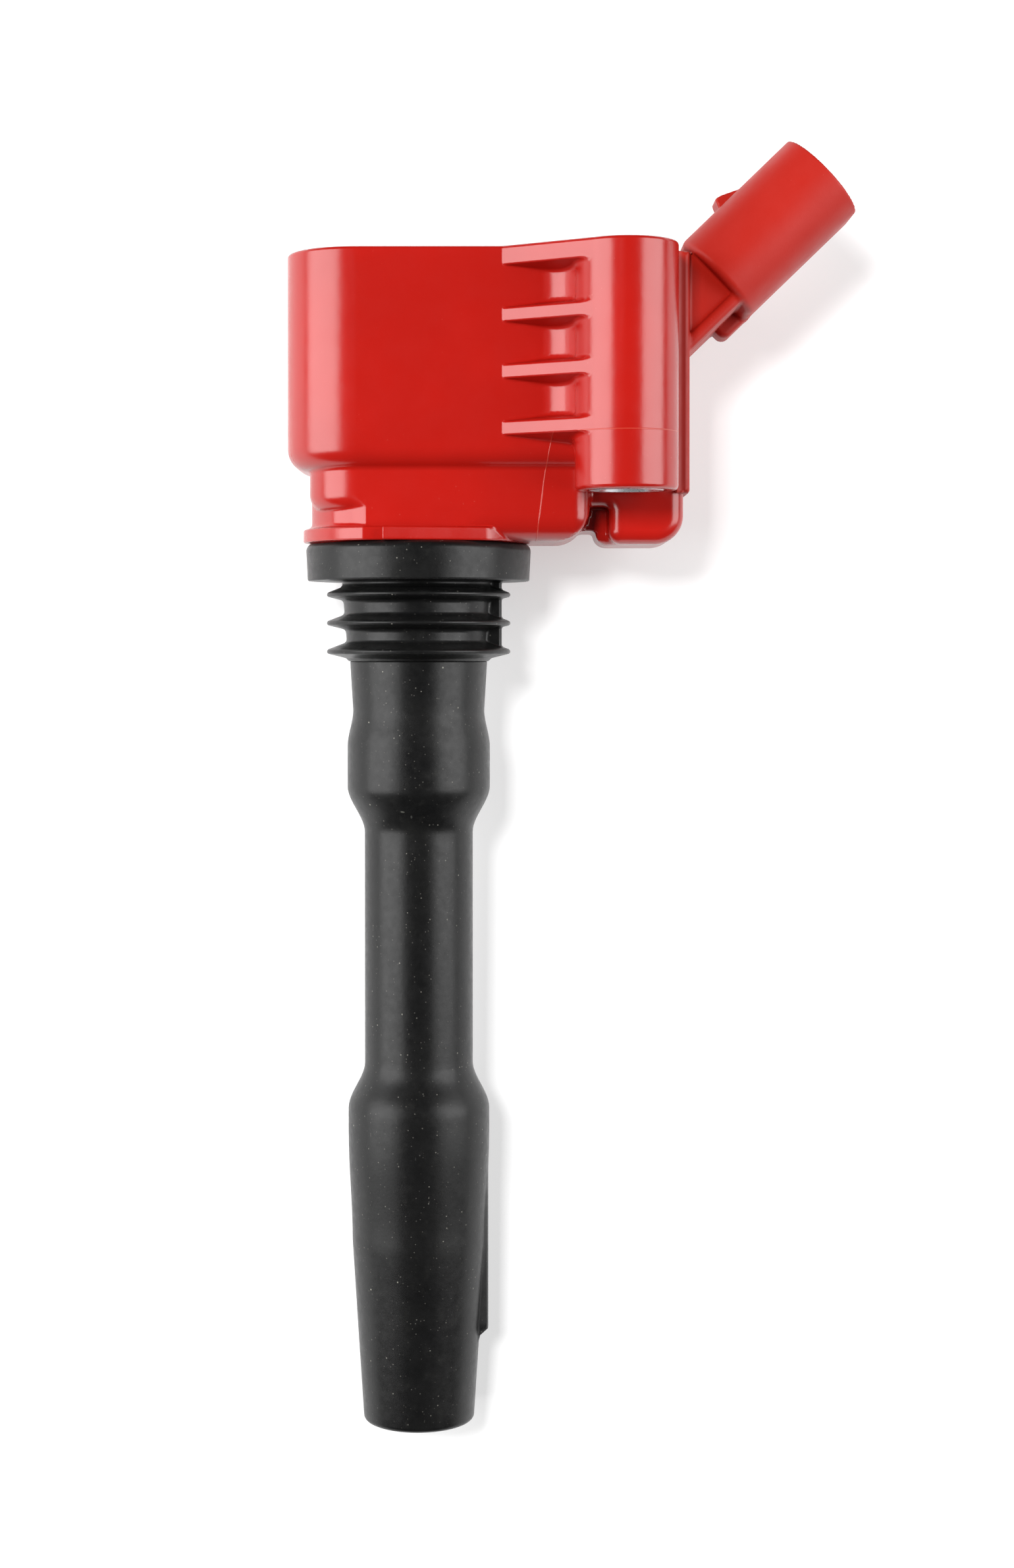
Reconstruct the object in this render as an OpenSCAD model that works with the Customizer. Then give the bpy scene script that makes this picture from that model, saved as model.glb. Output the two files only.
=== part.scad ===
// Plug-top ignition coil: a moulded head with the transformer and driver potted inside,
// a rubber boot that grips the spark plug, and one bolt that holds it to the engine.
// Frame: the boot's axis is Z, the origin is the centre of the boot's open end, and the
// head's connector points to +X and up. The bolt boss stands on the -Y side.

/* [Head] */
// Height of the head's top face above the boot's open end
head_top = 176; // [174:0.5:180]
// Height of the head's stepped underside
head_floor = 143.6; // [143:0.1:145]
// Distance from the boot's axis to the head's left face
head_left = 19.4; // [19:0.1:21]
// Distance from the boot's axis to the head's right face
head_right = 38.2; // [38.2:0.1:39]
// Depth of the head from front to back
head_depth = 31; // [30:0.5:32]
// Wall thickness of the moulded case
wall = 2; // [1.8:0.1:2.2]

/* [Bolt boss] */
// Distance of the bolt's axis from the boot's axis along X
bolt_x = 30.7; // [30.6:0.05:30.8]
// Distance of the bolt's axis in front of the boot's axis
bolt_y = 18.5; // [18.4:0.05:18.6]
// Outer radius of the boss
boss_r = 7.5; // [7.4:0.05:7.5]
// Height of the boss's and the sleeve's lower face
boss_floor = 140.2; // [139.8:0.1:140.6]
// Clear radius of the sleeve for an M6 bolt
bolt_hole_r = 3.5; // [3.3:0.1:3.6]
// Outer radius of the steel sleeve
sleeve_r = 5.5; // [5.2:0.1:5.8]

/* [Connector] */
// Half thickness of the oval shroud
shroud_r = 7.3; // [7.2:0.1:7.5]
// Full width of the oval shroud
shroud_w = 24.4; // [23:0.2:25]
// Length of the shroud along its axis
shroud_len = 22.3; // [22:0.1:23.5]
// Wall thickness of the shroud
shroud_wall = 1.2; // [1.1:0.1:1.3]
// Tilt of the connector above the horizontal
tilt = 44; // [43:1:46]

/* [Boot] */
// Radius of the bore that grips the plug's insulator
plug_bore_r = 5.2; // [5:0.05:5.3]
// Depth of that bore
plug_bore_len = 36; // [34:0.5:37]
// Radius of the boot's open end
boot_end_r = 8.4; // [8.2:0.1:8.8]
// Largest radius of the lower boot
boot_r = 10.7; // [10.5:0.1:11]
// Radius of the boot's slim middle
boot_mid_r = 8.2; // [8:0.1:8.6]

/* [Hidden] */
$fn = 64;
eps = 0.01;

// Half sizes and places that follow from the driving dimensions
half_d = head_depth / 2;
boss_y = -bolt_y;
left_corner_r = 11;
right_corner_r = 8;
box_split = 20;
web_r = 5;
floor_r = 3.4;
floor_edge_r = 1;

// Lower step of the case, above the seal
step_left = 16;
step_right = 25.6;
step_half_d = 13.5;
step_bottom = 133.2;
step_r = 7.6;
neck_top = 137.4;
neck_r = 16.3;
disc_r = 17.4;
disc_h = 2;
heel_r = 5;
notch_left = -7.7;
notch_right = -4.7;
notch_front = 15.6;
flat_front = 17.3;
flat_end = [10.8, -13.68];

// Ribs that tie the boss to the front face
rib_pitch = 8.25;
rib_first = 149.45;
rib_count = 4;
rib_half_t = 0.85;
rib_draft = 12;
rib_depth = 9;
rib_start_x = 12.6;
rib_sink = 0.15;

// Foot under the connector end
foot_left = 28.5;
foot_right = 39.6;
foot_bottom = 132.8;
foot_half_d = 10;
foot_bridge = 138.4;
foot_r = 4.3;
foot_slot_d = 4.5;
foot_nose_x = 26.6;
foot_nose_z = 134.9;

// Cavity of the case and the lid that closes it
cavity_floor = 146;
lid_bottom = 173.4;
lid_top = 175.4;
panel_left = 14.4;
panel_right = 24.2;
panel_half_d = 10;
panel_r = 5;
resin_top = 173.3;
pit_floor = 135.6;
pit_left = 12;
pit_right = 22;
pit_half_d = 10;
pit_corner_r = 4;

// Tower inside the seal and the boot
tower_bottom = 97;
tower_r = 7.5;
tower_seat_r = 9;
seat_bottom = 115.4;
bead_r = 8.2;
bead_low = tower_bottom + 1.5;
bead_h = 3;
bead_rise = 1.2;
tower_bore_r = 4.1;
tower_bore_top = 128;
output_pin_r = 1.5;
output_hole_r = 1.6;
diode_z = 140.5;
diode_out = 15.1;

// Seal grommet
collar_bottom = 127.5;
collar_top = step_bottom;
collar_r = 17;
rib_tip_r = 13.9;
seal_rib_z = [116.8, 121.1, 125.4];
seal_land = 0.4;
vent_block_x = 12.6;
vent_block_w = 7.8;

// Boot
boot_top = seat_bottom;
channel_r = 4.4;
boot_spline_steps = 8;
guide_rib_x = 10.6;
guide_rib_low = 13;
guide_rib_high = 38;
guide_rib_w = 2.4;

// Connector
flange_right = 40.4;
flange_half_d = 10.5;
flange_bottom = 140.3;
shroud_half_w = shroud_w / 2;
shroud_rear = [44.4, 172.3];
cavity_depth = 14;
neck_half_w = 9;
neck_low = 5.1;
neck_high = 5.2;
neck_len = 13;
neck_rim = 1.3;
neck_rim_proud = 0.4;
bend_x = 39;
tail_x = 31.5;
pin_pitch = 4.6;
pin_w = 2.8;
pin_t = 0.63;
pin_tip = 17;
latch_h = 1.65;
latch_w = 7;
latch_back = 8.2;
latch_peak = 9.4;
latch_front = 12.8;
latch_sink = 0.4;
plug_z0 = 161;
plug_z1 = 171;
plug_half_d = 9.6;

// Transformer, its axis along X at mid height of the cavity
axis_z = 159;
core_half = 3.5;
yoke_left = -16.9;
yoke_right = 22;
yoke_leg = 3;
yoke_half_d = 12.1;
yoke_half_h = 5;
yoke_corner = 7;
pad_t = 0.4;
magnet_t = 1.2;
bobbin_left = -12.4;
bobbin_right = 17.6;
bobbin_gap = 0.1;
bobbin_wall = 0.8;
primary_outer = 6.2;
secondary_inner = 6.5;
secondary_outer = 9.2;
secondary_fill = 8.8;
section_count = 7;
flange_t = 0.8;

// Driver electronics beside the transformer
package_x = 25.5;
package_t = 3;
package_half_d = 7.5;
package_z0 = 150;
package_z1 = 161;
spreader_t = 1;
capacitor_x = 31;
lead_y = 4.6;

// Spring contact in the boot
contact_r = 3.8;
contact_bottom = plug_bore_len + 0.2;
contact_h = 2.6;
spigot_r = 2.2;
spring_r = 3;
wire_r = 0.4;
spring_low = contact_bottom + contact_h + wire_r;
spring_high = 98.5 - wire_r;
spring_turns = 19;
closed_turns = 1.5;
resistor_r = 3.4;
resistor_low = 98.5;
resistor_high = 124;
cap_h = 3;
cap_r = 3.9;

// ---------- outlines shared by several parts ----------

// Rounded rectangle between two corners
module round_rect(x0, x1, y0, y1, r) {
    translate([x0 + r, y0]) square([x1 - x0 - 2 * r, y1 - y0]);
    translate([x0, y0 + r]) square([x1 - x0, y1 - y0 - 2 * r]);
    for (x = [x0 + r, x1 - r], y = [y0 + r, y1 - r])
        translate([x, y]) circle(r);
}

// Rectangle whose two lower corners are rounded, with one radius for each
module round_bottom(x0, x1, y0, y1, r_left, r_right) {
    translate([x0, y0 + max(r_left, r_right)]) square([x1 - x0, y1 - y0 - max(r_left, r_right)]);
    translate([x0 + r_left, y0]) square([x1 - x0 - r_left - r_right, max(r_left, r_right) + eps]);
    translate([x0, y0 + r_left]) square([r_left + eps, max(r_left, r_right) - r_left + eps]);
    translate([x1 - r_right - eps, y0 + r_right])
        square([r_right + eps, max(r_left, r_right) - r_right + eps]);
    translate([x0 + r_left, y0 + r_left]) circle(r_left);
    translate([x1 - r_right, y0 + r_right]) circle(r_right);
}

// Stands a drawing made in X and Z up in space, centred on Y, and gives it a depth
module upright(depth) {
    rotate([90, 0, 0]) linear_extrude(depth, center = true) children();
}

// Stands a drawing made in Y and Z up in space, from x0 to x1
module crosswise(x0, x1) {
    translate([x0, 0, 0]) rotate([90, 0, 90]) linear_extrude(x1 - x0) children();
}

// Ring of square section around the transformer's axis
module square_tube(x0, x1, inner, outer) {
    translate([x0, 0, axis_z]) rotate([90, 0, 90]) linear_extrude(x1 - x0) difference() {
        square(2 * outer, center = true);
        square(2 * inner, center = true);
    }
}

// Plan of the head's box, pulled in on all sides by an inset. Its left end is the rounder one
module box_plan(inset) {
    half = half_d - inset;
    round_rect(-head_left + inset, box_split, -half, half, left_corner_r - inset);
    round_rect(0, head_right - inset, -half, half, right_corner_r - inset);
}

// Plan of the case's cavity, pulled in by a gap. Its wall bulges in around the bolt sleeve
module cavity_plan(gap) {
    difference() {
        box_plan(wall + gap);
        translate([bolt_x, boss_y]) circle(boss_r + gap);
    }
}

// Plan of the pit below the cavity
module pit_plan() {
    round_rect(-pit_left, pit_right, -pit_half_d, pit_half_d, pit_corner_r);
}

// Plan of the transformer's closed yoke, without its window
module yoke_plan() {
    round_rect(yoke_left, yoke_right, -yoke_half_d, yoke_half_d, yoke_corner);
}

module yoke_window() {
    translate([yoke_left + yoke_leg, -secondary_outer - 0.1])
        square([yoke_right - yoke_left - 2 * yoke_leg, 2 * secondary_outer + 0.2]);
}

// Places children in the connector's own frame: +X along the plug's way out
module at_connector() {
    translate([shroud_rear[0], 0, shroud_rear[1]]) rotate([0, -tilt, 0]) children();
}

// Oval slab in the connector's frame, from one place along its axis to another
module oval(from, to, r, half_w) {
    translate([from, 0, 0]) rotate([90, 0, 90]) linear_extrude(to - from) {
        square([2 * (half_w - r), 2 * r], center = true);
        for (y = [-1, 1]) translate([y * (half_w - r), 0]) circle(r);
    }
}

// ---------- case ----------

// Plan of the head: a rounded box, the boss and the web that ties the boss in
module head_plan() {
    web_y = -half_d - web_r;
    web_x = bolt_x - sqrt(pow(boss_r + web_r, 2) - pow(boss_y - web_y, 2));
    box_plan(0);
    translate([bolt_x, boss_y]) circle(boss_r);
    translate([bolt_x - boss_r, boss_y]) square([head_right - bolt_x + boss_r, bolt_y]);
    difference() {
        polygon([[web_x, web_y], [bolt_x, boss_y], [bolt_x, wall - half_d], [web_x, wall - half_d]]);
        translate([web_x, web_y]) circle(web_r + 2 * eps);
    }
}

module head_block() {
    intersection() {
        translate([0, 0, head_floor]) linear_extrude(head_top - head_floor) head_plan();
        upright(4 * head_depth)
            round_bottom(-head_left, head_right, head_floor, head_top, floor_r, floor_edge_r);
    }
}

// Plan of the step just above the seal: round at the left, square at the right
module neck_plan() {
    intersection() {
        circle(neck_r);
        square([4 * neck_r, 2 * step_half_d], center = true);
    }
    difference() {
        round_rect(-step_r, step_right, -step_half_d, step_half_d, step_r);
        translate([-2 * step_r, -step_half_d - 1]) square([2 * step_r, 2 * step_half_d + 2]);
    }
}

// Plan of the disc on the seal: a circle with a notch and one slanted flat at its front
module disc_plan() {
    difference() {
        union() {
            circle(disc_r);
            translate([notch_right, -flat_front]) square([-notch_right, flat_front]);
        }
        translate([notch_left, -2 * disc_r])
            square([notch_right - notch_left, 2 * disc_r - notch_front]);
        polygon([[notch_right, -flat_front], flat_end, [flat_end[0], -2 * disc_r],
                 [notch_right, -2 * disc_r]]);
    }
}

module step_block() {
    intersection() {
        union() {
            translate([0, 0, neck_top]) linear_extrude(head_floor + floor_r - neck_top)
                round_rect(-step_left, step_right, -step_half_d, step_half_d, step_r);
            translate([0, 0, step_bottom]) linear_extrude(neck_top - step_bottom + eps) neck_plan();
        }
        upright(4 * head_depth)
            round_bottom(-step_left - 1, step_right, step_bottom, head_top, 0.5, heel_r);
    }
    translate([0, 0, step_bottom]) linear_extrude(disc_h) disc_plan();
}

// One drafted rib, its front face just inside the line that touches the boss. The top one
// rises to the head's top
module boss_rib(z, to_top) {
    reach = [bolt_x - rib_start_x, boss_y + half_d];
    span = norm(reach);
    touch_r = boss_r - rib_sink;
    run = sqrt(span * span - touch_r * touch_r);
    turn = atan2(reach[1], reach[0]) - asin(touch_r / span);
    root_half_t = rib_half_t + rib_depth * tan(rib_draft);
    rise = to_top ? head_top - z : rib_half_t;
    root_rise = to_top ? rise : root_half_t;
    translate([rib_start_x, -half_d, z]) rotate([0, 0, turn]) rotate([90, 0, 90])
        linear_extrude(run)
            polygon([[0, -rib_half_t], [rib_depth, -root_half_t],
                     [rib_depth, root_rise], [0, rise]]);
}

module foot() {
    difference() {
        intersection() {
            upright(2 * foot_half_d)
                round_bottom(step_right - 3, foot_right, foot_bottom, head_floor + 1, 1.5, foot_r);
            crosswise(0, foot_right)
                round_bottom(-foot_half_d, foot_half_d, foot_bottom, head_floor + 1, 2, 2);
        }
        translate([step_right - 4, -foot_half_d - 1, foot_bottom - 1])
            cube([foot_left - step_right + 4, foot_slot_d + 1, foot_bridge - foot_bottom + 1]);
        translate([step_right - 4, -foot_half_d - 1, foot_bottom - 1])
            cube([foot_nose_x - step_right + 4, 2 * foot_half_d + 2, foot_nose_z - foot_bottom + 1]);
    }
}

module tower() {
    translate([0, 0, seat_bottom]) cylinder(r = tower_seat_r, h = step_bottom - seat_bottom + 1);
    translate([0, 0, tower_bottom]) cylinder(r = tower_r, h = seat_bottom - tower_bottom + 1);
    translate([0, 0, bead_low])
        rotate_extrude()
            polygon([[tower_r - 1, 0], [tower_r, 0], [bead_r, bead_rise],
                     [bead_r, bead_h - bead_rise], [tower_r, bead_h], [tower_r - 1, bead_h]]);
}

module case() {
    color([0.78, 0.07, 0.06]) difference() {
        union() {
            head_block();
            translate([bolt_x, boss_y, boss_floor])
                cylinder(r = boss_r, h = head_floor + floor_r - boss_floor);
            for (i = [0 : rib_count - 1]) boss_rib(rib_first + i * rib_pitch, i == rib_count - 1);
            step_block();
            foot();
            tower();
        }
        // cavity for the transformer and the driver
        translate([0, 0, cavity_floor]) linear_extrude(head_top) cavity_plan(0);
        // pit for the high-voltage output
        translate([0, 0, pit_floor]) linear_extrude(cavity_floor - pit_floor + 1) pit_plan();
        // window that the connector's root plugs
        translate([head_right - 2 * wall, -plug_half_d, plug_z0])
            cube([3 * wall, 2 * plug_half_d, plug_z1 - plug_z0]);
        translate([bolt_x, boss_y, 0]) cylinder(r = sleeve_r, h = 2 * head_top);
        translate([0, 0, tower_bottom - 1]) cylinder(r = tower_bore_r, h = tower_bore_top - tower_bottom + 1);
        cylinder(r = output_hole_r, h = pit_floor + 1);
    }
}

// Lid set into the case's rim, with a shallow raised panel
module top_cover() {
    gap = 0.1;
    color([0.78, 0.07, 0.06]) {
        translate([0, 0, lid_bottom]) linear_extrude(lid_top - lid_bottom)
            cavity_plan(gap);
        translate([0, 0, lid_top - eps]) linear_extrude(head_top - lid_top)
            round_rect(-panel_left, panel_right, -panel_half_d, panel_half_d, panel_r);
    }
}

// Hard resin that fills the case around the transformer and the driver
module potting_resin() {
    slack = 0.6;
    lead_gap = 1.2;
    lead_channel_h = 4;
    diode_half_w = 4;
    color([0.06, 0.06, 0.07]) difference() {
        union() {
            translate([0, 0, cavity_floor]) linear_extrude(resin_top - cavity_floor) cavity_plan(0);
            translate([0, 0, pit_floor]) linear_extrude(cavity_floor - pit_floor + eps) pit_plan();
        }
        // pocket of the yoke and its pads
        translate([0, 0, axis_z - yoke_half_h - pad_t])
            linear_extrude(2 * (yoke_half_h + pad_t)) yoke_plan();
        // pocket of the windings
        translate([bobbin_left - slack, -secondary_outer, axis_z - secondary_outer])
            cube([bobbin_right - bobbin_left + slack, 2 * secondary_outer, 2 * secondary_outer]);
        // pocket of the driver and its leads
        translate([yoke_right + slack, -plug_half_d, package_z0 - 1])
            cube([head_right - wall - yoke_right, 2 * plug_half_d, plug_z1 - package_z0 + 1]);
        // channel of the primary winding's leads
        translate([bobbin_right - 2, -lead_y - 1, axis_z + yoke_half_h])
            cube([yoke_right - bobbin_right + 3, 2 * lead_y + 2, lead_channel_h]);
        // pocket of the diode and the output pin
        translate([-diode_half_w, -diode_half_w, pit_floor - 1])
            cube([diode_out + diode_half_w + lead_gap, 2 * diode_half_w, 2 * diode_half_w]);
        translate([diode_out - lead_gap, -lead_gap, pit_floor])
            cube([2 * lead_gap, 2 * lead_gap, cavity_floor]);
    }
}

// ---------- connector ----------

// Neck between the flange and the shroud, rimmed along its lower edge
module connector_neck() {
    lug = [4.4, 7, 2.3];
    difference() {
        at_connector() {
            translate([-neck_len, -neck_half_w, -neck_low])
                cube([neck_len + 1, 2 * neck_half_w, neck_low + neck_high]);
            translate([-neck_len, -neck_half_w - neck_rim_proud, -neck_low])
                cube([neck_len + 0.2, 2 * (neck_half_w + neck_rim_proud), neck_rim]);
            translate([-lug[0], neck_half_w - lug[1], -neck_low - lug[2]])
                cube([lug[0] + 1, lug[1], lug[2] + 1]);
        }
        translate([head_right + 0.5 - 50, -50, 0]) cube([50, 100, 250]);
        translate([0, -50, head_top]) cube([flange_right, 100, 50]);
    }
}

module connector_housing() {
    color([0.76, 0.08, 0.07]) difference() {
        union() {
            // flange against the case's end
            translate([head_right, -flange_half_d, flange_bottom])
                cube([flange_right - head_right, 2 * flange_half_d, head_top - flange_bottom]);
            // root that plugs the case's window
            translate([head_right - wall, -plug_half_d, plug_z0])
                cube([wall + eps, 2 * plug_half_d, plug_z1 - plug_z0]);
            connector_neck();
            at_connector() {
                oval(0, shroud_len, shroud_r, shroud_half_w);
                // latch wedge for the harness plug
                translate([0, latch_w / 2, shroud_r - latch_sink]) rotate([90, 0, 0])
                    linear_extrude(latch_w)
                        polygon([[latch_back, 0], [latch_front, 0], [latch_front, latch_sink],
                                 [latch_peak, latch_h + latch_sink], [latch_back, latch_h]]);
            }
        }
        at_connector()
            oval(shroud_len - cavity_depth, shroud_len + 1, shroud_r - shroud_wall,
                 shroud_half_w - shroud_wall);
        for (i = [0 : 3]) terminal_shape(i);
    }
}

// One blade: straight out of the driver's leads, then bent up into the shroud
module terminal_shape(i) {
    half = pin_t / 2;
    mitre = half * tan(tilt / 2);
    bend_z = shroud_rear[1] - (shroud_rear[0] - bend_x) * tan(tilt);
    tip = shroud_rear + pin_tip * [cos(tilt), sin(tilt)];
    side = half * [-sin(tilt), cos(tilt)];
    translate([0, (i - 1.5) * pin_pitch, 0]) upright(pin_w)
        polygon([[tail_x, bend_z - half], [bend_x + mitre, bend_z - half], tip - side,
                 tip + side, [bend_x - mitre, bend_z + half], [tail_x, bend_z + half]]);
}

module terminal(i) {
    color([0.75, 0.7, 0.55]) terminal_shape(i);
}

// ---------- bolt sleeve ----------

module bolt_sleeve() {
    chamfer = 0.45;
    color([0.75, 0.76, 0.78]) translate([bolt_x, boss_y, boss_floor]) difference() {
        cylinder(r = sleeve_r, h = head_top - boss_floor);
        translate([0, 0, -1]) cylinder(r = bolt_hole_r, h = head_top);
        translate([0, 0, -eps])
            cylinder(r1 = bolt_hole_r + chamfer + eps, r2 = bolt_hole_r, h = chamfer + eps);
        translate([0, 0, head_top - boss_floor - chamfer])
            cylinder(r1 = bolt_hole_r, r2 = bolt_hole_r + chamfer + eps, h = chamfer + eps);
    }
}

// ---------- rubber parts ----------

// Points of one sealing rib in the grommet's profile, from its top to its bottom
function seal_rib(z, root) = [
    [root, z + 1.7], [root + 0.9, z + 1.0], [rib_tip_r, z + seal_land / 2],
    [rib_tip_r, z - seal_land / 2], [root + 1.2, z - 0.8], [root, z - 1.2]
];

module seal_grommet() {
    collar_edge = 1.2;
    color([0.10, 0.10, 0.10]) difference() {
        union() {
            rotate_extrude() polygon(concat(
                [[tower_seat_r, seat_bottom], [tower_seat_r, collar_top],
                 [collar_r - collar_edge, collar_top], [collar_r - 0.3, collar_top - 0.4],
                 [collar_r, collar_top - collar_edge], [collar_r - 0.3, collar_bottom],
                 [11.6, collar_bottom]],
                seal_rib(seal_rib_z[2], 11.5), seal_rib(seal_rib_z[1], 11.2),
                seal_rib(seal_rib_z[0], 10.8),
                [[10.6, seat_bottom]]));
            translate([0, -vent_block_w / 2, seat_bottom + 1])
                cube([vent_block_x, vent_block_w, collar_bottom - seat_bottom - 1 + eps]);
        }
        translate([0, 0, seat_bottom - 1]) cylinder(r = tower_seat_r, h = collar_top);
    }
}

// Smooth step between two radii of the boot over a stretch of its height
function blend(r0, r1, z0, z1) = [
    for (i = [0 : boot_spline_steps])
        let (t = i / boot_spline_steps, s = t * t * (3 - 2 * t))
            [r0 + (r1 - r0) * s, z0 + (z1 - z0) * t]
];

module boot() {
    socket_r = tower_r;
    outer = concat(
        [[boot_end_r - 0.7, 0], [boot_end_r - 0.2, 0.2], [boot_end_r, 0.8], [9.25, 14]],
        blend(10.1, boot_r, 27.5, 44),
        blend(boot_r, boot_mid_r, 47.5, 54.5),
        blend(boot_mid_r, 10.8, 89.5, 96.5),
        blend(10.8, 9.95, 102.5, 108),
        [[10.4, boot_top]]);
    inner = [
        [socket_r, boot_top], [socket_r, bead_low + bead_h], [bead_r, bead_low + bead_h - bead_rise],
        [bead_r, bead_low + bead_rise], [socket_r, bead_low], [socket_r, tower_bottom],
        [channel_r, tower_bottom], [channel_r, 0]
    ];
    color([0.09, 0.09, 0.09]) difference() {
        union() {
            rotate_extrude() polygon(concat(outer, inner));
            translate([plug_bore_r + 1, -guide_rib_w / 2, guide_rib_low])
                cube([guide_rib_x - plug_bore_r - 1, guide_rib_w, guide_rib_high - guide_rib_low]);
        }
        translate([0, 0, -1]) cylinder(r = plug_bore_r, h = plug_bore_len + 1);
    }
}

// ---------- transformer ----------

// Closed frame of laminations around the windings
module yoke_core() {
    color([0.35, 0.36, 0.38]) translate([0, 0, axis_z - yoke_half_h])
        linear_extrude(2 * yoke_half_h) difference() {
            yoke_plan();
            yoke_window();
        }
}

module center_core() {
    color([0.38, 0.39, 0.41])
        translate([yoke_left + yoke_leg + magnet_t, -core_half, axis_z - core_half])
            cube([yoke_right - yoke_left - 2 * yoke_leg - magnet_t, 2 * core_half, 2 * core_half]);
}

module bias_magnet() {
    color([0.25, 0.25, 0.27]) translate([yoke_left + yoke_leg, -core_half, axis_z - core_half])
        cube([magnet_t, 2 * core_half, 2 * core_half]);
}

// Soft pads on both faces of the yoke, which let it and the hard resin expand apart
module core_buffers() {
    color([0.55, 0.55, 0.5]) for (z = [axis_z - yoke_half_h - pad_t, axis_z + yoke_half_h])
        translate([0, 0, z]) linear_extrude(pad_t) difference() {
            yoke_plan();
            yoke_window();
        }
}

module primary_bobbin() {
    inner = core_half + bobbin_gap;
    tube = inner + bobbin_wall;
    color([0.85, 0.83, 0.76]) {
        square_tube(bobbin_left, bobbin_right, inner, tube);
        square_tube(bobbin_left, bobbin_left + flange_t, inner, primary_outer);
        square_tube(bobbin_right - flange_t, bobbin_right, inner, primary_outer);
    }
}

module primary_winding() {
    tube = core_half + bobbin_gap + bobbin_wall;
    color([0.72, 0.35, 0.14])
        square_tube(bobbin_left + flange_t, bobbin_right - flange_t, tube, primary_outer - 0.3);
}

// Width of one winding section between two partitions
section_w = (bobbin_right - bobbin_left - (section_count + 1) * flange_t) / section_count;

module secondary_bobbin() {
    tube = secondary_inner + bobbin_wall;
    color([0.12, 0.12, 0.13]) {
        square_tube(bobbin_left, bobbin_right, secondary_inner, tube);
        for (i = [0 : section_count])
            let (x = bobbin_left + i * (section_w + flange_t))
                square_tube(x, x + flange_t, tube - eps, secondary_outer);
    }
}

module secondary_winding() {
    tube = secondary_inner + bobbin_wall;
    color([0.62, 0.26, 0.12]) for (i = [0 : section_count - 1])
        let (x = bobbin_left + flange_t + i * (section_w + flange_t))
            square_tube(x, x + section_w, tube, secondary_fill);
}

// ---------- driver electronics ----------

// Flat copper strips from the primary winding over the yoke and down to the driver
module primary_leads() {
    strip = 0.7;
    rise_x = bobbin_right + 0.2;
    drop_x = package_x + 1;
    low = axis_z + primary_outer - 1.2;
    high = axis_z + yoke_half_h + pad_t + 1;
    color([0.7, 0.34, 0.13]) for (y = [-lead_y, lead_y]) translate([0, y - strip / 2, 0]) {
        translate([bobbin_right, 0, low]) cube([rise_x - bobbin_right + strip, strip, strip]);
        translate([rise_x, 0, low]) cube([strip, strip, high - low]);
        translate([rise_x, 0, high - strip]) cube([drop_x - rise_x + strip, strip, strip]);
        translate([drop_x, 0, package_z1]) cube([strip, strip, high - package_z1]);
    }
}

module igniter_package() {
    color([0.08, 0.08, 0.09])
        translate([package_x, -package_half_d, package_z0])
            cube([package_t, 2 * package_half_d, package_z1 - package_z0]);
}

module heat_spreader() {
    color([0.75, 0.55, 0.38])
        translate([package_x + package_t, -package_half_d - 1, package_z0])
            cube([spreader_t, 2 * package_half_d + 2, package_z1 - package_z0 - 1]);
}

// Legs from the driver up to the four terminals
module igniter_leads() {
    leg_w = 1.2;
    leg_t = 0.5;
    leg_x = package_x + 1.8;
    tail_z = shroud_rear[1] - (shroud_rear[0] - bend_x) * tan(tilt) - pin_t / 2;
    color([0.8, 0.8, 0.78]) for (i = [0 : 3])
        translate([leg_x, (i - 1.5) * pin_pitch - leg_w / 2, 0]) {
            translate([0, 0, package_z1]) cube([leg_t, leg_w, tail_z - package_z1]);
            translate([0, 0, tail_z - leg_t]) cube([tail_x + 2 - leg_x, leg_w, leg_t]);
        }
}

module noise_capacitor() {
    size = [4, 6, 8];
    color([0.15, 0.35, 0.6]) translate([capacitor_x, -size[1] / 2, package_z0]) cube(size);
}

// ---------- high-voltage path ----------

// Diode between the output pin and the last section of the secondary winding
module hv_diode() {
    lead_r = 0.35;
    body_x = 4;
    body_len = 8;
    color([0.1, 0.1, 0.1]) {
        translate([body_x, 0, diode_z]) rotate([0, 90, 0]) cylinder(r = 1.5, h = body_len, $fn = 32);
        translate([output_pin_r, 0, diode_z]) rotate([0, 90, 0])
            cylinder(r = lead_r, h = body_x - output_pin_r + eps, $fn = 24);
        translate([body_x + body_len - eps, 0, diode_z]) rotate([0, 90, 0])
            cylinder(r = lead_r, h = diode_out - body_x - body_len, $fn = 24);
        translate([diode_out - lead_r, -lead_r, diode_z - lead_r])
            cube([2 * lead_r, 2 * lead_r, axis_z - secondary_fill - diode_z + lead_r]);
    }
}

// Stepped output pin through the case's floor, down to the resistor
module hv_terminal() {
    pin_low = resistor_high + cap_h / 2;
    pin_high = diode_z + 1;
    collar_h = 1;
    color([0.8, 0.75, 0.5]) {
        translate([0, 0, pin_low]) cylinder(r = output_pin_r, h = pin_high - pin_low);
        translate([0, 0, pit_floor]) cylinder(r = 2 * output_pin_r, h = collar_h);
    }
}

module resistor_body() {
    color([0.86, 0.82, 0.72]) translate([0, 0, resistor_low + cap_h / 2])
        cylinder(r = resistor_r, h = resistor_high - resistor_low - cap_h / 2);
}

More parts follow.
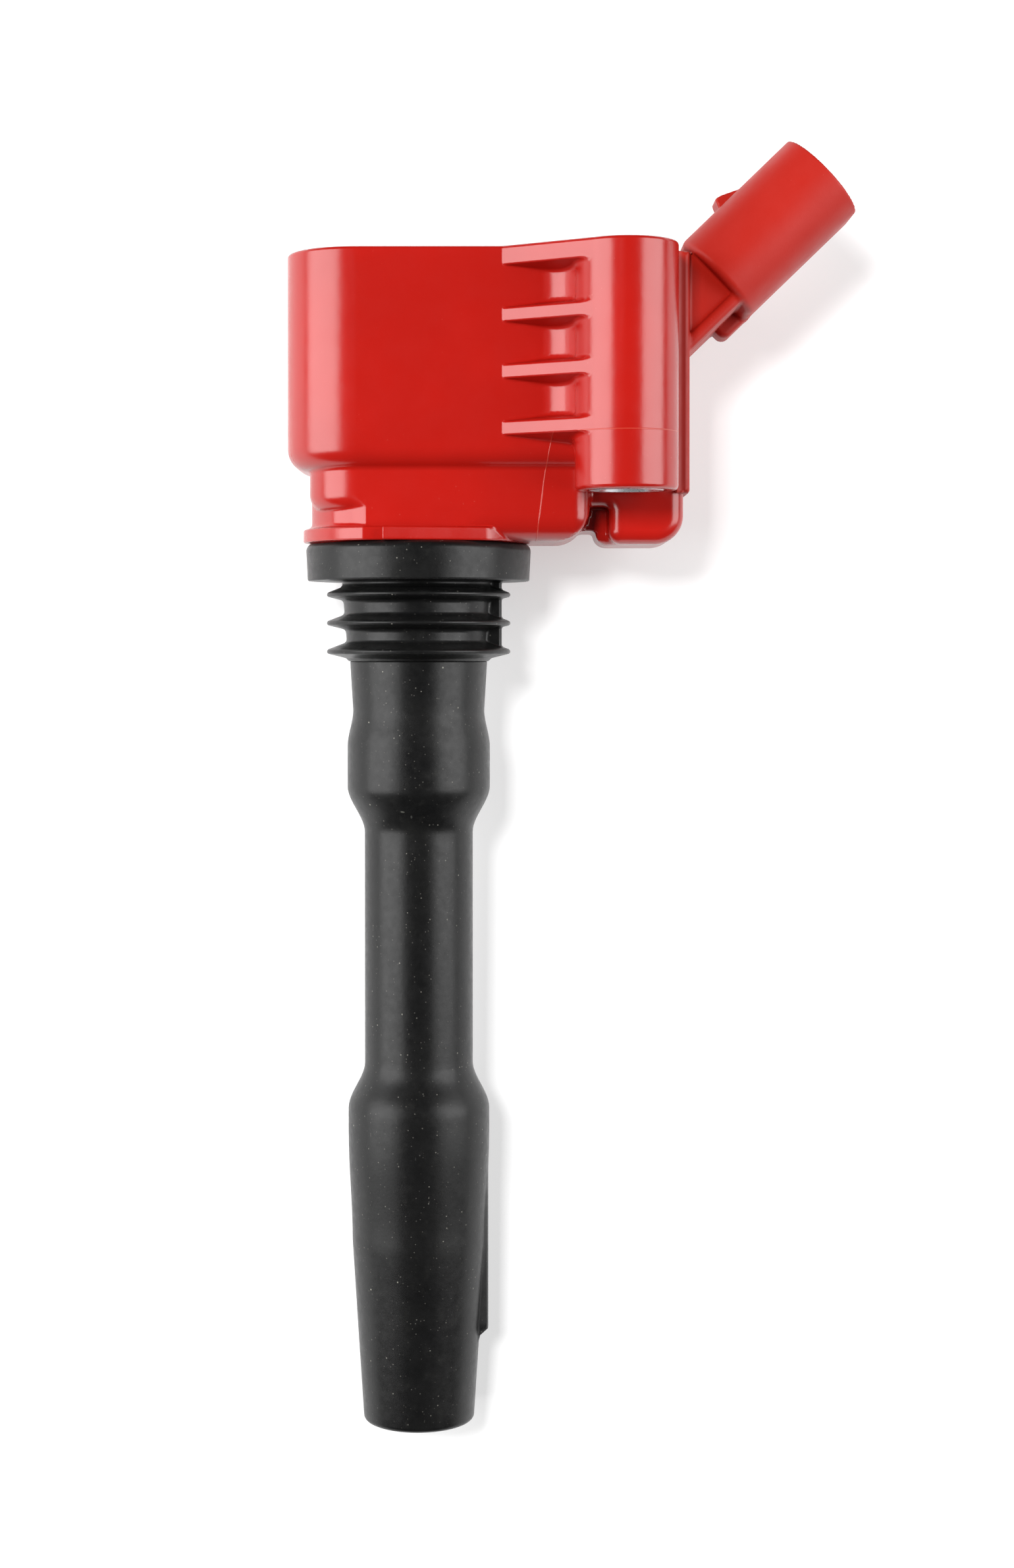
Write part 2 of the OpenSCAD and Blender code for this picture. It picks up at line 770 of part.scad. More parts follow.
// Pressed metal caps on both ends of the resistor
module resistor_caps() {
    color([0.75, 0.75, 0.76]) {
        difference() {
            translate([0, 0, resistor_low]) cylinder(r = cap_r, h = cap_h);
            translate([0, 0, resistor_low + cap_h / 2]) cylinder(r = resistor_r, h = cap_h);
        }
        difference() {
            translate([0, 0, resistor_high - cap_h / 2]) cylinder(r = cap_r, h = cap_h);
            translate([0, 0, resistor_high - 2 * cap_h]) cylinder(r = resistor_r, h = 2 * cap_h);
        }
    }
}

// Height of the wire's centre after a given number of turns: closed coils at both ends
function spring_z(n) =
    let (closed = 2 * wire_r,
         open = (spring_high - spring_low - 2 * closed_turns * closed)
                / (spring_turns - 2 * closed_turns))
    n < closed_turns ? spring_low + n * closed
    : n > spring_turns - closed_turns ? spring_high - (spring_turns - n) * closed
    : spring_low + closed_turns * closed + (n - closed_turns) * open;

// Round wire swept along the helix
module contact_spring() {
    ring_n = 6;
    step_n = 14;
    rings = spring_turns * step_n;
    points = [
        for (i = [0 : rings], k = [0 : ring_n - 1])
            let (a = 360 * i / step_n, b = 360 * k / ring_n, r = spring_r + wire_r * cos(b))
                [r * cos(a), r * sin(a), spring_z(i / step_n) + wire_r * sin(b)]
    ];
    sides = [
        for (i = [0 : rings - 1], k = [0 : ring_n - 1])
            let (a = i * ring_n + k, b = i * ring_n + (k + 1) % ring_n)
                [a, b, b + ring_n, a + ring_n]
    ];
    low_end = [[for (k = [ring_n - 1 : -1 : 0]) k]];
    high_end = [[for (k = [0 : ring_n - 1]) rings * ring_n + k]];
    color([0.7, 0.71, 0.73]) polyhedron(points, concat(sides, low_end, high_end));
}

// Sprung button that presses on the plug's terminal
module plug_contact() {
    dish_r = 2.4;
    dish_depth = 0.8;
    spigot_h = 3;
    color([0.82, 0.78, 0.6]) difference() {
        union() {
            translate([0, 0, contact_bottom]) cylinder(r = contact_r, h = contact_h);
            translate([0, 0, contact_bottom + contact_h - eps]) cylinder(r = spigot_r, h = spigot_h);
        }
        translate([0, 0, contact_bottom - eps])
            cylinder(r1 = dish_r, r2 = dish_r - dish_depth, h = dish_depth);
    }
}

case();
top_cover();
potting_resin();
connector_housing();
terminal(0);  // terminal_1
terminal(1);  // terminal_2
terminal(2);  // terminal_3
terminal(3);  // terminal_4
bolt_sleeve();
seal_grommet();
boot();
yoke_core();
center_core();
bias_magnet();
core_buffers();
primary_bobbin();
primary_winding();
secondary_bobbin();
secondary_winding();
primary_leads();
igniter_package();
heat_spreader();
igniter_leads();
noise_capacitor();
hv_diode();
hv_terminal();
resistor_body();
resistor_caps();
contact_spring();
plug_contact();
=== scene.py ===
"""Looks of a plug-top ignition coil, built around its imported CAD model.

The head, the connector and the seal are meshed from distance fields, so that every edge has its
moulded radius and every inner corner its fillet. The boot, the sleeve and the sprung contact are
turned from profiles, and the spring is wound. Lengths are millimetres, except that a material
reads places and distances in metres.
"""

import math

import bpy
import numpy as np
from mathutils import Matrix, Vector


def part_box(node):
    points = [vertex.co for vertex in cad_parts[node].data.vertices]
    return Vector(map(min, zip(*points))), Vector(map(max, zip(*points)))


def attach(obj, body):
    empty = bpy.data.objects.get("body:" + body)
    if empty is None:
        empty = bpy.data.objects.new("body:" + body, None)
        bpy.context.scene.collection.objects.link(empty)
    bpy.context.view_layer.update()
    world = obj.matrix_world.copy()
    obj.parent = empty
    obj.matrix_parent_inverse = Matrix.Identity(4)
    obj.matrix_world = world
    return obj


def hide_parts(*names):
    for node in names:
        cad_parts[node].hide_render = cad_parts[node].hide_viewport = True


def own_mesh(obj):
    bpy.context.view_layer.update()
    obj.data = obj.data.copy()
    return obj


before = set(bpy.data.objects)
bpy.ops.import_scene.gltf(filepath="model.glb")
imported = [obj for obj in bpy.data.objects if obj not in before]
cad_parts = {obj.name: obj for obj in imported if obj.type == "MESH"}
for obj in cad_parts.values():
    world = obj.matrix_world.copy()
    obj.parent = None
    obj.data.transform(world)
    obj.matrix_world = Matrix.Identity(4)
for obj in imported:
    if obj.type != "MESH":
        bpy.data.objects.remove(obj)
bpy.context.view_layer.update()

MM = 0.001


def box_mm(node):
    low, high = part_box(node)
    return np.array(low) / MM, np.array(high) / MM


# ---------- places that the CAD model gives ----------

case_low, case_high = box_mm("case")
housing_low, housing_high = box_mm("connector_housing")
cover_low, cover_high = box_mm("top_cover")
sleeve_low, sleeve_high = box_mm("bolt_sleeve")
seal_low, seal_high = box_mm("seal_grommet")
boot_high = box_mm("boot")[1]
spring_low, spring_high = box_mm("contact_spring")
contact_low, contact_high = box_mm("plug_contact")

HEAD_TOP = case_high[2]
HEAD_LEFT = case_low[0]
WALL = 2.0
LID_GAP = 0.1
HALF_D = cover_high[1] + LID_GAP + WALL
BOLT_X, BOLT_Y = (sleeve_low[:2] + sleeve_high[:2]) / 2
SLEEVE_R = (sleeve_high[0] - sleeve_low[0]) / 2
BOSS_FLOOR = sleeve_low[2]
BOSS_R = 7.5
HEAD_RIGHT = BOLT_X + BOSS_R
TOWER_BOTTOM = case_low[2]
SEAT_BOTTOM = seal_low[2]
COLLAR_TOP = seal_high[2]
COLLAR_R = -seal_low[0]
BOOT_R = boot_high[0]

# ---------- distance fields ----------


def hypot_pos(a, b):
    return np.hypot(np.maximum(a, 0), np.maximum(b, 0))


def box2(x, y, x0, x1, y0, y1, r=0.0):
    """Distance to a rectangle with corners of radius r."""
    u = np.abs(x - (x0 + x1) / 2) - (x1 - x0) / 2 + r
    v = np.abs(y - (y0 + y1) / 2) - (y1 - y0) / 2 + r
    return np.minimum(np.maximum(u, v), 0) + hypot_pos(u, v) - r


def both(a, b, r):
    """What two fields share, with the edge where they meet rounded."""
    return np.minimum(np.maximum(a, b), -r) + hypot_pos(a + r, b + r)


def either(a, b, r):
    """Two fields joined, with a fillet in the corner where they meet."""
    return np.maximum(np.minimum(a, b), r) - hypot_pos(r - a, r - b)


def extrude(d, z, z0, z1, r_low, r_high):
    """A plan given a height, with its lower and upper edges rounded."""
    return both(both(d, z0 - z, r_low), z - z1, r_high)


def ramp(t, t0, t1):
    """Smooth step from 0 at t0 to 1 at t1."""
    s = np.clip((t - t0) / (t1 - t0), 0, 1)
    return s * s * (3 - 2 * s)


def spaced(*stretches):
    """Grid lines over stretches given as (start, end, pitch)."""
    lines = [np.arange(start, end - 1e-6, pitch) for start, end, pitch in stretches]
    return np.append(np.concatenate(lines), stretches[-1][1])


def gradient(field, p, h=0.01):
    steps = np.eye(3) * h
    return np.stack([(field(*(p + s).T) - field(*(p - s).T)) / (2 * h) for s in steps], 1)


def surface_net(field, xs, ys, zs):
    """Vertices and quads of the surface where the field is zero, by the surface nets method."""
    f = field(xs[:, None, None], ys[None, :, None], zs[None, None, :])
    inside = f < 0
    shape = np.array(f.shape) - 1
    corners = [(i, j, k) for i in (0, 1) for j in (0, 1) for k in (0, 1)]
    count = np.zeros(shape, np.int8)
    for i, j, k in corners:
        count += inside[i:shape[0] + i, j:shape[1] + j, k:shape[2] + k]
    cells = np.argwhere((count > 0) & (count < 8))
    index = np.full(shape, -1, np.int32)
    index[tuple(cells.T)] = np.arange(len(cells))
    total = np.zeros((len(cells), 3))
    hits = np.zeros((len(cells), 1))
    for a in corners:
        for axis in range(3):
            if a[axis]:
                continue
            b = tuple(1 if n == axis else v for n, v in enumerate(a))
            ia, ib = cells + a, cells + b
            fa, fb = f[tuple(ia.T)], f[tuple(ib.T)]
            cross = (fa < 0) != (fb < 0)
            t = np.where(cross, fa / np.where(cross, fa - fb, 1), 0)[:, None]
            pa = np.stack([xs[ia[:, 0]], ys[ia[:, 1]], zs[ia[:, 2]]], 1)
            pb = np.stack([xs[ib[:, 0]], ys[ib[:, 1]], zs[ib[:, 2]]], 1)
            total += np.where(cross[:, None], pa + t * (pb - pa), 0)
            hits += cross[:, None]
    quads = []
    for axis in range(3):
        u, v = (axis + 1) % 3, (axis + 2) % 3
        lower = [slice(1, n) for n in shape]
        upper = list(lower)
        lower[axis], upper[axis] = slice(0, shape[axis]), slice(1, shape[axis] + 1)
        starts, ends = inside[tuple(lower)], inside[tuple(upper)]
        at = np.argwhere(starts != ends)
        first = starts[tuple(at.T)]
        at[:, u] += 1
        at[:, v] += 1
        ring = []
        for du, dv in ((0, 0), (1, 0), (1, 1), (0, 1)):
            c = at.copy()
            c[:, u] -= 1 - du
            c[:, v] -= 1 - dv
            ring.append(index[tuple(c.T)])
        ring = np.stack(ring, 1)
        quads.append(np.where(first[:, None], ring, ring[:, ::-1]))
    return total / hits, np.concatenate(quads)


def field_mesh(name, field, xs, ys, zs, rounds=4):
    """A mesh of the field's surface, each point pulled onto the surface and given its true normal."""
    points, quads = surface_net(field, xs, ys, zs)
    reach = 0.4 * min(np.diff(xs).min(), np.diff(ys).min(), np.diff(zs).min())
    for _ in range(rounds):
        slope = gradient(field, points)
        size = np.maximum((slope ** 2).sum(1), 1e-3)
        points -= np.clip(field(*points.T) / size, -reach, reach)[:, None] * slope
    slope = gradient(field, points)
    normals = slope / np.linalg.norm(slope, axis=1)[:, None]
    return make_mesh(name, points, quads, normals)


# ---------- meshes ----------


def make_mesh(name, points, faces, normals=None):
    """A smooth-shaded object from points in millimetres."""
    mesh = bpy.data.meshes.new(name)
    faces = [tuple(int(i) for i in face) for face in faces]
    mesh.from_pydata([tuple(p) for p in np.asarray(points) * MM], [], faces)
    mesh.shade_smooth()
    if normals is not None:
        mesh.normals_split_custom_set_from_vertices([tuple(n) for n in normals])
    obj = bpy.data.objects.new(name, mesh)
    bpy.context.scene.collection.objects.link(obj)
    return obj


def turned(name, profile, segments=128, centre=(0, 0), sharp_deg=40):
    """A closed profile of (radius, height) points turned about an upright axis."""
    profile = np.array(profile)
    angles = np.arange(segments) * 2 * math.pi / segments
    rings = [
        np.stack([centre[0] + r * np.cos(angles), centre[1] + r * np.sin(angles), np.full(segments, z)], 1)
        for r, z in profile
    ]
    faces = []
    for i in range(len(profile)):
        j = (i + 1) % len(profile)
        for k in range(segments):
            n = (k + 1) % segments
            faces.append((i * segments + k, i * segments + n, j * segments + n, j * segments + k))
    obj = make_mesh(name, np.concatenate(rings), faces)
    obj.data.set_sharp_from_angle(angle=math.radians(sharp_deg))
    return obj


def arc(cx, cy, r, start, end, steps=6):
    """Points of an arc, from one angle in degrees to another."""
    return [
        (cx + r * math.cos(math.radians(a)), cy + r * math.sin(math.radians(a)))
        for a in np.linspace(start, end, steps)
    ]


def bevelled(name, outline, z0, z1, edge, segments=3):
    """An upright prism on an outline, with rounded edges."""
    n = len(outline)
    points = [(x, y, z) for z in (z0, z1) for x, y in outline]
    faces = [tuple(range(n))[::-1], tuple(range(n, 2 * n))]
    faces += [(k, (k + 1) % n, n + (k + 1) % n, n + k) for k in range(n)]
    obj = make_mesh(name, points, faces)
    soften(obj, edge, segments)
    return obj


def soften(obj, width, segments=3):
    """Rounds an object's edges and keeps its flat faces flat in the shading."""
    bevel = obj.modifiers.new("edges", "BEVEL")
    bevel.width = width * MM
    bevel.segments = segments
    bevel.limit_method = "ANGLE"
    bevel.angle_limit = math.radians(30)
    bevel.harden_normals = True


def round_outline(x0, x1, y0, y1, r, steps=8):
    return (
        arc(x1 - r, y1 - r, r, 0, 90, steps) + arc(x0 + r, y1 - r, r, 90, 180, steps)
        + arc(x0 + r, y0 + r, r, 180, 270, steps) + arc(x1 - r, y0 + r, r, 270, 360, steps)
    )


# ---------- case ----------

HEAD_FLOOR = 143.6
FLOOR_R = 3.4
RIM_R = 0.5
LEFT_R, RIGHT_R = 11.0, 8.0
BOX_SPLIT = 20.0
WEB_R = 5.0
WEB_LOW = 148.4
RIB_START_X = 12.6
RIB_FIRST = 149.45
RIB_PITCH = 8.25
RIB_COUNT = 4
RIB_HALF_T = 1.0
RIB_DRAFT = math.radians(12)
RIB_DEPTH = 9.0
STEP_LEFT, STEP_RIGHT = -16.0, 25.6
STEP_D = 13.5
STEP_R, STEP_RIGHT_R = 7.6, 2.5
HEEL_R = 5.0
NECK_R = 16.3
NECK_TOP = 137.4
DISC_R = 17.4
DISC_TOP = COLLAR_TOP + 2
NOTCH_LEFT, NOTCH_RIGHT = -7.7, -4.7
NOTCH_Y = -15.6
FLAT_Y = -17.3
FLAT_TURN = math.radians(13.16)
SWELL, SWELL_END = 0.55, 4.0
FOOT_RIGHT = case_high[0]
FOOT_LEFT = 28.5
FOOT_LOW = 132.8
FOOT_D = 10.0
FOOT_BRIDGE = 138.4
FOOT_SLOT_Y = -5.5
FOOT_NOSE_X, FOOT_NOSE_Z = 26.6, 134.9
SEAT_R = 9.0
TUBE_R = 7.5
BEAD_R = 1.0
BEAD_Z = TOWER_BOTTOM + 3
CAVITY_FLOOR = 146.0
PIT_LEFT, PIT_RIGHT = -12.0, 22.0
PIT_D, PIT_R = 10.0, 4.0
PIT_FLOOR = 135.6
TOWER_BORE_R, TOWER_BORE_TOP = 4.1, 128.0
LEAD_HOLE_R = 1.6


def box_plan(x, y, inset=0.0):
    """Plan of the head's box, pulled in by an inset. Its left end is the rounder one."""
    half = HALF_D - inset
    left = box2(x, y, HEAD_LEFT + inset, BOX_SPLIT, -half, half, LEFT_R - inset)
    right = box2(x, y, 0, HEAD_RIGHT - inset, -half, half, RIGHT_R - inset)
    return np.minimum(left, right)


def head_plan(x, y):
    """Plan of the box, the boss and what joins them."""
    boss = np.hypot(x - BOLT_X, y - BOLT_Y) - BOSS_R
    block = box2(x, y, BOLT_X - BOSS_R, HEAD_RIGHT, BOLT_Y, 0)
    return np.minimum(np.minimum(box_plan(x, y), boss), block)


def web(x, y, z):
    """The hollow sweep from the front face out to the boss, from the lowest rib up."""
    hollow_y = -HALF_D - WEB_R
    span = BOSS_R + WEB_R
    rise = BOLT_Y - hollow_y
    run = math.sqrt(span ** 2 - rise ** 2)
    hollow_x = BOLT_X - run
    inner = box2(x, y, hollow_x, BOLT_X, hollow_y, 1 - HALF_D)
    beyond = ((x - hollow_x) * rise - (y - hollow_y) * run) / span
    plan = np.maximum(np.maximum(inner, beyond), WEB_R - np.hypot(x - hollow_x, y - hollow_y))
    return both(plan, WEB_LOW - z, 0.3)


def with_ribs(body, x, y, z):
    """The body joined to the drafted ribs between its front face and its boss."""
    reach = np.array([BOLT_X - RIB_START_X, BOLT_Y + HALF_D])
    span = np.linalg.norm(reach)
    touch_r = BOSS_R - 0.1
    turn = math.atan2(reach[1], reach[0]) - math.asin(touch_r / span)
    run = math.sqrt(span ** 2 - touch_r ** 2)
    u = (x - RIB_START_X) * math.cos(turn) + (y + HALF_D) * math.sin(turn)
    v = -(x - RIB_START_X) * math.sin(turn) + (y + HALF_D) * math.cos(turn)
    far = 1e3
    sides = far
    for i in range(RIB_COUNT):
        dz = z - (RIB_FIRST + i * RIB_PITCH)
        up = -far if i == RIB_COUNT - 1 else dz
        half = np.maximum(up, -dz) - RIB_HALF_T - v * math.tan(RIB_DRAFT)
        sides = np.minimum(sides, half * math.cos(RIB_DRAFT))
    sides = np.maximum(np.maximum(sides, u - run), np.maximum(v - RIB_DEPTH, -u))
    fillet = 0.3 + 0.35 * ramp(u, 1, 9)
    return np.minimum(body, both(either(body, sides, fillet), -v, 0.3))


def step(x, y, z):
    """The lower step of the head: overhanging at its left, heavy and round-heeled at its right."""
    plan = box2(x, y, STEP_LEFT, STEP_RIGHT, -STEP_D, STEP_D, np.where(x < 0, STEP_R, STEP_RIGHT_R))
    flush = ramp(x, -9.5, -6)
    ledge_r = 2.8 - 2.5 * flush
    drum_r = 3.2 - 2.8 * flush
    inset = 0.05 - 0.05 * flush
    fillet = 0.25 - 0.24 * flush
    heel_r = 0.6 + 3.4 * ramp(x, 2, 11)
    upper = extrude(plan, z, NECK_TOP, HEAD_FLOOR + 6, ledge_r, 0.1)
    drum = both(np.hypot(x, y) - NECK_R, np.abs(y) - STEP_D, drum_r)
    right = box2(x, y, 0, STEP_RIGHT, -STEP_D, STEP_D, STEP_RIGHT_R)
    heel = both(x - STEP_RIGHT, COLLAR_TOP - z, HEEL_R)
    neck = np.maximum(np.minimum(drum, right), plan + inset)
    lower = both(both(neck, COLLAR_TOP - z, heel_r), z - NECK_TOP - 2, 0.1)
    return either(upper, np.maximum(lower, heel), fillet)


def disc(x, y, z):
    """The round plate on the seal, with a notch and one slanted flat at its front."""
    r = np.hypot(x, y)
    notch = np.maximum(NOTCH_LEFT - x, y - NOTCH_Y)
    rounded = both(r - DISC_R, -notch, 0.1)
    swell = SWELL * np.clip((SWELL_END - x) / (SWELL_END - NOTCH_RIGHT), 0, 1)
    tab = np.maximum(both(r - DISC_R - swell, NOTCH_RIGHT - x, 0.15), y)
    slant = (x - NOTCH_RIGHT) * math.sin(FLAT_TURN) - (y - FLAT_Y) * math.cos(FLAT_TURN)
    plan = both(np.minimum(rounded, tab), slant, 0.15)
    return extrude(plan, z, COLLAR_TOP, DISC_TOP, 0.3, 0.3)


def foot(x, y, z):
    """The block below the connector's end, open toward the heel at its front."""
    side = box2(x, z, STEP_RIGHT - 3, FOOT_RIGHT, FOOT_LOW, HEAD_FLOOR + 3, 1.5)
    corner = both(x - FOOT_RIGHT, FOOT_LOW - z, 4.3)
    body = both(np.maximum(side, corner), np.abs(y) - FOOT_D, 2.2)
    slot = both(both(x - FOOT_LEFT, z - FOOT_BRIDGE, 0.8), y - FOOT_SLOT_Y, 0.5)
    nose = both(x - FOOT_NOSE_X, z - FOOT_NOSE_Z, 0.6)
    return both(body, -np.minimum(slot, nose), 1.9)


def tower(x, y, z):
    """What the seal and the boot are pushed onto, with a bead that holds the boot."""
    r = np.hypot(x, y)
    seat = extrude(r - SEAT_R, z, SEAT_BOTTOM, COLLAR_TOP + 2, 0.3, 0.1)
    tube = extrude(r - TUBE_R, z, TOWER_BOTTOM, SEAT_BOTTOM + 2, 0.5, 0.1)
    bead = np.hypot(r - TUBE_R + 0.3, z - BEAD_Z) - BEAD_R
    return np.minimum(seat, either(tube, bead, 0.5))


def case_field(x, y, z):
    """The head, boss, ribs, step, foot, disc and tower in one moulding, less its hollows."""
    from_bolt = np.hypot(x - BOLT_X, y - BOLT_Y)
    head = both(head_plan(x, y), HEAD_FLOOR - z, FLOOR_R)
    boss = both(from_bolt - BOSS_R, BOSS_FLOOR - z, 0.7)
    body = with_ribs(np.minimum(np.minimum(head, boss), web(x, y, z)), x, y, z)
    body = both(body, z - HEAD_TOP, RIM_R)
    body = either(body, step(x, y, z), 0.5)
    body = either(body, foot(x, y, z), 0.4)
    body = either(body, disc(x, y, z), 0.9 - 0.6 * ramp(x, -9, -6))
    body = np.minimum(body, tower(x, y, z))
    cavity = both(box_plan(x, y, WALL), BOSS_R - from_bolt, 0.4)
    cavity = extrude(cavity, z, CAVITY_FLOOR, HEAD_TOP + 9, 0.5, 0.1)
    pit = box2(x, y, PIT_LEFT, PIT_RIGHT, -PIT_D, PIT_D, PIT_R)
    pit = extrude(pit, z, PIT_FLOOR, CAVITY_FLOOR + 4, 0.5, 0.1)
    body = both(body, -np.minimum(cavity, pit), 0.25)
    body = np.maximum(body, SLEEVE_R - from_bolt)
    r = np.hypot(x, y)
    bore = np.minimum(np.maximum(r - TOWER_BORE_R, z - TOWER_BORE_TOP), r - LEAD_HOLE_R)
    return np.maximum(body, -bore)


def make_case():
    """The case, on a grid that is finest along its front and at its tight edges."""
    heights = [(TOWER_BOTTOM - 0.6, 104, 0.6), (104, 130, 2.0), (130, 132.4, 0.6), (132.4, 145, 0.3)]
    for i in range(RIB_COUNT):
        centre = RIB_FIRST + i * RIB_PITCH
        heights += [(heights[-1][1], centre - 1.5, 0.8), (centre - 1.5, centre - 0.6, 0.24)]
        if i < RIB_COUNT - 1:
            heights += [(centre - 0.6, centre + 0.6, 0.6), (centre + 0.6, centre + 1.5, 0.24)]
    heights.append((heights[-1][1], HEAD_TOP + 0.6, 0.34))
    return field_mesh(
        "case_shell", case_field,
        spaced((HEAD_LEFT - 0.5, -10, 0.34), (-10, -8.2, 0.45), (-8.2, -4.2, 0.24), (-4.2, 10, 0.6),
               (10, 15, 0.34), (15, FOOT_RIGHT + 0.6, 0.44)),
        spaced((case_low[1] - 0.5, -12.4, 0.36), (-12.4, -5, 0.9), (-5, 10, 1.5), (10, DISC_R + 0.6, 0.56)),
        spaced(*heights),
    )


# ---------- lid ----------

PANEL_LEFT, PANEL_RIGHT = -14.4, 24.2
PANEL_D, PANEL_R = 10.0, 5.0
PANEL_RISE = 0.6


def make_lid():
    """The flat lid in the case's rim and the shallow panel on it."""
    inset = WALL + LID_GAP
    (x0, y0, _), (x1, y1, _) = cover_low, cover_high
    right = round_outline(x0, x1, y0, y1, RIGHT_R - inset)
    left = round_outline(x0, x1, y0, y1, LEFT_R - inset)
    outline = []
    for x, y in right[:8] + left[8:24] + [(n, y0) for n in range(-5, 30)] + right[24:]:
        away = math.hypot(x - BOLT_X, y - BOLT_Y)
        push = max(1.0, (BOSS_R + LID_GAP) / away)
        outline.append((BOLT_X + (x - BOLT_X) * push, BOLT_Y + (y - BOLT_Y) * push))
    top = cover_high[2]
    lid = bevelled("lid_plate", outline, cover_low[2], top - PANEL_RISE, 0.25)
    panel = round_outline(PANEL_LEFT, PANEL_RIGHT, -PANEL_D, PANEL_D, PANEL_R)
    raised = bevelled("lid_panel", panel, top - PANEL_RISE - 0.05, top, 0.2)
    return [lid, raised]


# ---------- connector ----------

TILT = math.radians(44)
REAR_X, REAR_Z = 44.4, 172.3
SHROUD_R = 7.3
SHROUD_HALF_W = housing_high[1]
SHROUD_LEN = 22.3
SHROUD_WALL = 1.2
SOCKET_DEPTH = 14.0
FLANGE_RIGHT = 40.4
FLANGE_D = 10.5
FLANGE_BOTTOM = housing_low[2]
NECK_D = 8.8
NECK_LOW = 5.1
NECK_HIGH = 5.2
RIM_D = 9.9
RIM_H = 1.8
LATCH_BACK = 8.2
LATCH_TOP = 1.5
LATCH_FRONT = 12.8
LATCH_HALF_W = 3.5
LATCH_TURN = math.radians(24.5)
EDGE_FILLET = 1.2
LUG_Y, LUG_HALF_W = RIM_D - 4.4, 3.5
ROOT_LOW, ROOT_HIGH, ROOT_D = 161.0, 171.0, 9.6


def oval(y, w, r, half_w):
    return np.hypot(np.maximum(np.abs(y) - (half_w - r), 0), w) - r


def latch(along, up, y):
    """The wedge that the harness plug's clip snaps behind, steep at its back and long at its front."""
    top = SHROUD_R + LATCH_TOP
    back = LATCH_BACK + (up - SHROUD_R) * 0.4 - along
    slope = (up - top) * math.cos(LATCH_TURN) + (along - LATCH_BACK - 1.2) * math.sin(LATCH_TURN)
    profile = both(both(slope, up - top, 0.3), back, 0.2)
    return np.maximum(both(profile, np.abs(y) - LATCH_HALF_W, 0.3), along - LATCH_FRONT - 0.6)


def connector_field(x, y, z):
    """The tilted shroud with its neck and latch, and the upright flange, less the socket."""
    along = (x - REAR_X) * math.cos(TILT) + (z - REAR_Z) * math.sin(TILT)
    up = -(x - REAR_X) * math.sin(TILT) + (z - REAR_Z) * math.cos(TILT)
    shroud = extrude(oval(y, up, SHROUD_R, SHROUD_HALF_W), along, 0, SHROUD_LEN, 1.0, 0.3)
    flange = box2(x, z, HEAD_RIGHT, FLANGE_RIGHT, FLANGE_BOTTOM, HEAD_TOP, 0.3)
    flange = both(flange, np.abs(y) - FLANGE_D, 0.8)
    edge_x, edge_y = HEAD_RIGHT + EDGE_FILLET, -FLANGE_D - EDGE_FILLET
    edge = box2(x, y, HEAD_RIGHT, edge_x, edge_y, 1 - FLANGE_D)
    edge = np.maximum(edge, EDGE_FILLET - np.hypot(x - edge_x, y - edge_y))
    edge = both(np.maximum(edge, z - HEAD_TOP), FLANGE_BOTTOM - z, 0.3)
    neck = both(np.abs(y) - NECK_D, -NECK_LOW - up, 0.4)
    rim = box2(y, up, -RIM_D, RIM_D, -NECK_LOW, RIM_H - NECK_LOW, 0.7)
    neck = extrude(either(neck, rim, 0.5), along, -14, 1, 0.1, 0.1)
    neck = np.maximum(neck, up - NECK_HIGH)
    lug = both(box2(along, up, -4.2, 2, -SHROUD_R, 0, 1.3), np.abs(y - LUG_Y) - LUG_HALF_W, 0.9)
    neck = np.maximum(np.minimum(neck, lug), HEAD_RIGHT + 0.3 - x)
    neck = np.maximum(neck, z - HEAD_TOP + 0.4)
    body = either(either(shroud, neck, 0.5), np.minimum(flange, edge), 0.35)
    body = either(body, np.maximum(latch(along, up, y), -up), 0.2)
    root = box2(x, z, HEAD_RIGHT - WALL, HEAD_RIGHT + 0.5, ROOT_LOW, ROOT_HIGH, 0.1)
    root = both(root, np.abs(y) - ROOT_D, 0.1)
    body = np.minimum(body, root)
    socket = extrude(oval(y, up, SHROUD_R - SHROUD_WALL, SHROUD_HALF_W - SHROUD_WALL), along,
                     SHROUD_LEN - SOCKET_DEPTH, SHROUD_LEN + 4, 0.4, 0.1)
    return both(body, -socket, 0.25)


def make_connector():
    fine = 0.34
    return field_mesh(
        "connector_shell", connector_field,
        spaced((housing_low[0] - 0.5, housing_high[0] + 0.5, fine)),
        spaced((-SHROUD_HALF_W - 0.5, SHROUD_HALF_W + 0.5, fine)),
        spaced((FLANGE_BOTTOM - 0.5, 157, 0.6), (157, housing_high[2] + 0.5, fine)),
    )


# ---------- seal ----------

LIP_HEIGHTS = (116.8, 121.1, 125.4)
COLLAR_BOTTOM = 127.5
LIP_R = 13.9
LIP_POINT_R = LIP_R + 0.9
LIP_OVER, LIP_UNDER = math.radians(21), math.radians(14)
SEAL_R, SEAL_FLARE = 10.7, 0.9 / 12
VENT_RIGHT, VENT_D = 12.6, 3.9
SLOT_X, SLOT_Y, SLOT_R = 12.7, -2.2, 0.8


